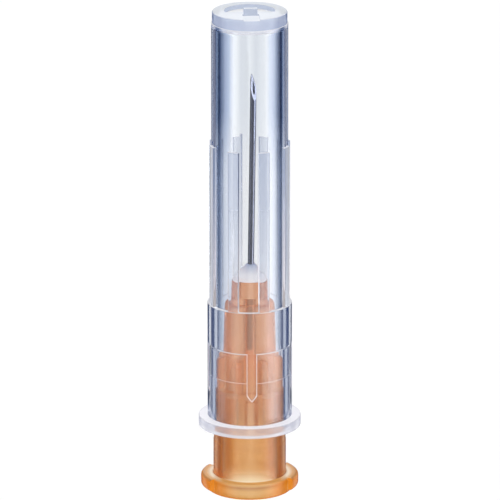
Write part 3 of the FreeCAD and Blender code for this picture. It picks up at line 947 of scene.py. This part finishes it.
def make_sheath():
    """One clear moulding with its ribs, bore steps, splines and closed end."""
    sheath = draw_outline("sheath", [
        (0, BORE_END),
        (BORE_END_RADIUS, BORE_END, BORE_ROUND),
        (BORE_RADIUS, UPPER_STEP, EDGE_SOFTNESS),
        (MIDDLE_RADIUS, UPPER_STEP, EDGE_SOFTNESS),
        (MIDDLE_RADIUS, LOWER_STEP, EDGE_SOFTNESS / 2),
        (MOUTH_RADIUS, LOWER_STEP, EDGE_SOFTNESS / 2),
        (MOUTH_RADIUS, SEAT_HEIGHT, EDGE_SOFTNESS),
        (FLANGE_RADIUS, SEAT_HEIGHT, FLANGE_ROUND),
        (FLANGE_RADIUS, FLANGE_TOP, FLANGE_ROUND),
        (BAND_RADIUS, FLANGE_TOP, EDGE_SOFTNESS),
        (BAND_RADIUS, BAND_TOP, EDGE_SOFTNESS),
        (TUBE_RADIUS, BAND_TOP, EDGE_SOFTNESS),
        (TUBE_END_RADIUS, RIM_FOOT, EDGE_SOFTNESS / 2),
        (RIM_RADIUS, RIM_FOOT, EDGE_SOFTNESS / 2),
        (RIM_RADIUS, SHEATH_TOP, RIM_ROUND),
        (0, SHEATH_TOP),
    ], closed=False)
    turn_round(sheath, ROUND_STEPS)

    wall_middle = (TUBE_RADIUS + BORE_RADIUS) / 2
    rib = box(
        "rib",
        (wall_middle, -RIB_WIDTH / 2, BAND_TOP - (RIB_REACH - TUBE_RADIUS)),
        (RIB_REACH, RIB_WIDTH / 2, RIB_TOP))
    near_top = RIB_TOP - MERGE_GAP
    soften(rib, EDGE_SOFTNESS, lambda a, b: min(a.x, b.x) > TUBE_RADIUS and max(a.z, b.z) > near_top)
    combine(sheath, repeat_round(rib, RIB_COUNT, 180 / RIB_COUNT - RIB_TURN), "UNION")

    root = UPPER_STEP + EDGE_SOFTNESS * 2
    spline = draw_outline("spline", [
        (0, SPLINE_TIP),
        (SPLINE_WIDTH / 2, SPLINE_TIP + SPLINE_POINT),
        (SPLINE_WIDTH / 2, root),
        (-SPLINE_WIDTH / 2, root),
        (-SPLINE_WIDTH / 2, SPLINE_TIP + SPLINE_POINT),
    ])
    thicken(spline, (0, BORE_RADIUS - MOUTH_RADIUS - EDGE_SOFTNESS * 2, 0))
    spline.data.transform(Matrix.Translation((0, -BORE_RADIUS, 0)))
    soften(spline, SPLINE_SOFTNESS, lambda a, b: min(a.y, b.y) > -BORE_RADIUS - MERGE_GAP)
    combine(sheath, repeat_round(spline, SPLINE_COUNT), "UNION")

    nib = box(
        "nib",
        (-NIB_WIDTH / 2, -NIB_OFFSET - NIB_THICKNESS, SHEATH_TOP - RECESS_DEPTH * 2),
        (NIB_WIDTH / 2, -NIB_OFFSET, SHEATH_TOP + NIB_HEIGHT))
    soften(nib, EDGE_SOFTNESS, lambda a, b: max(a.z, b.z) > SHEATH_TOP)
    combine(sheath, nib, "UNION")

    recess = rod("recess", RECESS_RADIUS, SHEATH_TOP, RECESS_DEPTH * 2, ROUND_STEPS)
    front = box(
        "front",
        (-RECESS_RADIUS * 2, -RECESS_RADIUS * 2, BORE_END),
        (RECESS_RADIUS * 2, -RECESS_FLAT, SHEATH_TOP + RECESS_RADIUS))
    combine(recess, front, "DIFFERENCE")
    combine(sheath, recess, "DIFFERENCE")

    notch = box(
        "notch",
        (-NOTCH_WIDTH / 2, -RIM_RADIUS * 2, SHEATH_TOP - NOTCH_DEPTH),
        (NOTCH_WIDTH / 2, -NIB_OFFSET - NIB_THICKNESS, SHEATH_TOP + NIB_HEIGHT * 2))
    combine(sheath, notch, "DIFFERENCE")
    return finish(sheath, "needle_sheath", "sheath", clear_plastic())


# Camera, in millimetres and degrees
CAMERA_DISTANCE = 450
CAMERA_LIFT = 16.8
CAMERA_TURN = -3.6
CAMERA_AIM = 19.82
CAMERA_SIDE = 0.028
CAMERA_LENS = 408.8
SENSOR_WIDTH = 36
CLIP_NEAR = 10
CLIP_FAR = 10000


def make_camera():
    data = bpy.data.cameras.new("camera")
    data.lens = CAMERA_LENS
    data.sensor_width = SENSOR_WIDTH
    data.clip_start = CLIP_NEAR * MM
    data.clip_end = CLIP_FAR * MM
    camera = bpy.data.objects.new("camera", data)
    lift = math.radians(CAMERA_LIFT)
    turn = math.radians(CAMERA_TURN)
    place = Vector((
        CAMERA_SIDE,
        -CAMERA_DISTANCE * math.cos(lift),
        CAMERA_AIM + CAMERA_DISTANCE * math.sin(lift),
    ))
    camera.location = Matrix.Rotation(turn, 3, "Z") @ place * MM
    camera.rotation_euler = (math.pi / 2 - lift, 0, turn)
    bpy.context.collection.objects.link(camera)
    bpy.context.scene.camera = camera


# What the plastic and the steel mirror: white strips between dark ones, and one lamp to the right
STUDIO_WHITE = (1, 1, 1)
STUDIO_DARK = (0.05, 0.085, 0.21)
STRIP_COUNT = 8
STRIP_LOW = -0.2
STRIP_HIGH = 0.9
LAMP_BEARING = math.radians(112)
LAMP_HALF_WIDTH = math.radians(26)
LAMP_STRENGTH = 2.5


def make_world():
    """White to the camera and through the plastic, plain light for colours, and strips for gloss."""
    world = bpy.data.worlds.new("studio")
    bpy.context.scene.world = world
    tree = Tree(world)
    across, along = tree.axes(tree.node("ShaderNodeTexCoord", {}, output="Generated"))[:2]
    bearing = tree.node("ShaderNodeMath", {"operation": "ARCTAN2"}, across, along)
    wave = (bearing * STRIP_COUNT).maths("COSINE")
    strips = tree.fade(wave, STRIP_LOW, STRIP_HIGH, curve="SMOOTHSTEP")
    off_lamp = (bearing - LAMP_BEARING).maths("COSINE")
    lamp = tree.fade(off_lamp, math.cos(LAMP_HALF_WIDTH), 1.0, curve="SMOOTHSTEP")
    mirrored = tree.node("ShaderNodeLightPath", {}, output="Glossy Depth").maths("MINIMUM", 1.0)
    reflected = tree.blend(tree.most(strips, lamp), STUDIO_DARK, STUDIO_WHITE)
    colour = tree.blend(mirrored, STUDIO_WHITE, reflected)
    strength = lamp * mirrored * LAMP_STRENGTH + 1.0
    background = tree.node("ShaderNodeBackground", {}, Color=colour, Strength=strength)
    tree.node("ShaderNodeOutputWorld", {}, Surface=background)


# Floor, with its radius in millimetres
FLOOR_RADIUS = 3000
FLOOR_TINT = (0.92, 0.92, 0.92)
FLOOR_LIFT = 0.1


def make_floor():
    """A pale floor that keeps the needle's shadow and is lifted to white for the camera alone."""
    bpy.ops.object.select_all(action="DESELECT")
    bpy.ops.mesh.primitive_circle_add(vertices=FINE_STEPS, radius=FLOOR_RADIUS * MM, fill_type="NGON")
    floor = bpy.context.active_object
    floor.name = "floor"
    floor.visible_transmission = False
    floor.visible_glossy = False
    material, tree = new_material("floor")
    pale = tree.node("ShaderNodeBsdfDiffuse", {}, Color=FLOOR_TINT)
    lift = tree.node("ShaderNodeLightPath", {}, output="Is Camera Ray") * FLOOR_LIFT
    glow = tree.node("ShaderNodeEmission", {}, Strength=lift)
    both = tree.node("ShaderNodeAddShader", {}, pale, glow)
    tree.node("ShaderNodeOutputMaterial", {}, Surface=both)
    floor.data.materials.append(material)


# How often light may bounce, so that it gets through every wall
MOST_BOUNCES = 32
SEE_THROUGH_BOUNCES = 24

make_camera()
make_hub()
make_cannula()
make_bond()
make_sheath()
make_world()
make_floor()

scene = bpy.context.scene
scene.view_settings.view_transform = "Standard"
scene.cycles.max_bounces = MOST_BOUNCES
scene.cycles.transmission_bounces = SEE_THROUGH_BOUNCES
scene.cycles.transparent_max_bounces = SEE_THROUGH_BOUNCES
